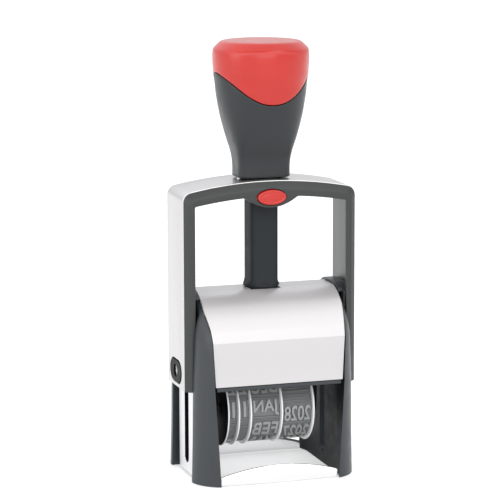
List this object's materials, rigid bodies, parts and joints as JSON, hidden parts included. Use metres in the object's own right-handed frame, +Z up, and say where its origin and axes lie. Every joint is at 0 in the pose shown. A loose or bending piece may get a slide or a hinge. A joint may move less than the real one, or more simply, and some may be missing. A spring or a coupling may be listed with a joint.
{
  "type": "self inking stamp",
  "caption": "Heavy-duty self-inking date stamp with a steel bow, press handle, lock button, date wheels and slide-out ink pad.",
  "frame": {"origin": "bottom centre of the stamp, on the table", "axes": "+X to the right, -Y towards the user who faces the lock button, +Z up through the handle"},
  "size_m": [0.0622, 0.044, 0.1498],
  "materials": {
    "satin_chrome": "satin",
    "bright_chrome": "polished",
    "black_plastic": "satin",
    "grip_plastic": "satin",
    "red_plastic": "gloss",
    "steel": "satin",
    "wheel_plastic": "gloss",
    "band_rubber": "matte",
    "ink_felt": "matte"
  },
  "bodies": {
    "base": {"left_cheek": "black_plastic", "right_cheek": "black_plastic", "left_side_plate": "satin_chrome", "right_side_plate": "satin_chrome", "top_bridge": "black_plastic", "front_wall": "black_plastic", "pad_hood": "satin_chrome", "post": "black_plastic", "front_skirt": "bright_chrome", "rear_skirt": "bright_chrome", "left_front_cheek_screw": "steel", "left_rear_cheek_screw": "steel", "right_front_cheek_screw": "steel", "right_rear_cheek_screw": "steel", "post_screw": "steel"},
    "bow": {"steel_bow": "satin_chrome", "front_bezel": "black_plastic", "handle_grip": "grip_plastic", "handle_cap": "red_plastic", "spring_plug": "black_plastic", "post_bush": "black_plastic", "left_bearing": "black_plastic", "right_bearing": "black_plastic", "left_handle_screw": "steel", "right_handle_screw": "steel", "press_spring": "steel", "lock_spring": "steel"},
    "button": {"lock_button": "red_plastic"},
    "carriage": {"carriage_frame": "black_plastic", "text_rubber": "band_rubber", "band_nose": "wheel_plastic", "wheel_shaft": "steel", "left_axle_pin": "steel", "right_axle_pin": "steel", "left_flip_pin": "steel", "right_flip_pin": "steel", "day_tens_band": "band_rubber", "day_units_band": "band_rubber", "month_band": "band_rubber", "year_band": "band_rubber"},
    "day_tens": {"day_tens_wheel": "wheel_plastic"},
    "day_units": {"day_units_wheel": "wheel_plastic"},
    "month": {"month_wheel": "wheel_plastic"},
    "year": {"year_wheel": "wheel_plastic"},
    "tray": {"pad_tray": "black_plastic", "ink_pad": "ink_felt"}
  },
  "joints": [
    {"name": "press", "type": "slide", "parent": "base", "child": "bow", "axis": [0, 0, -1], "range_m": [0, 0.027], "stiffness_N_per_m": 550, "springref_m": -0.012, "deforming": ["press_spring"]},
    {"name": "lock_push", "type": "slide", "parent": "bow", "child": "button", "axis": [0, 1, 0], "range_m": [0, 0.002], "stiffness_N_per_m": 300, "springref_m": -0.001, "deforming": ["lock_spring"]},
    {"name": "flip", "type": "hinge", "parent": "bow", "child": "carriage", "pos_m": [0, 0, 0.0368], "axis": [1, 0, 0], "range_deg": [0, 180.1]},
    {"name": "tray_slide", "type": "slide", "parent": "base", "child": "tray", "axis": [0, 1, 0], "range_m": [0, 0.035]},
    {"name": "day_tens_turn", "type": "hinge", "parent": "carriage", "child": "day_tens", "pos_m": [0, 0, 0.0225], "axis": [1, 0, 0], "continuous": true},
    {"name": "day_units_turn", "type": "hinge", "parent": "carriage", "child": "day_units", "pos_m": [0, 0, 0.0225], "axis": [1, 0, 0], "continuous": true},
    {"name": "month_turn", "type": "hinge", "parent": "carriage", "child": "month", "pos_m": [0, 0, 0.0225], "axis": [1, 0, 0], "continuous": true},
    {"name": "year_turn", "type": "hinge", "parent": "carriage", "child": "year", "pos_m": [0, 0, 0.0225], "axis": [1, 0, 0], "continuous": true}
  ],
  "couplings": [
    {"joint": "flip", "follows": "press", "rad_per_m": 116.36}
  ]
}
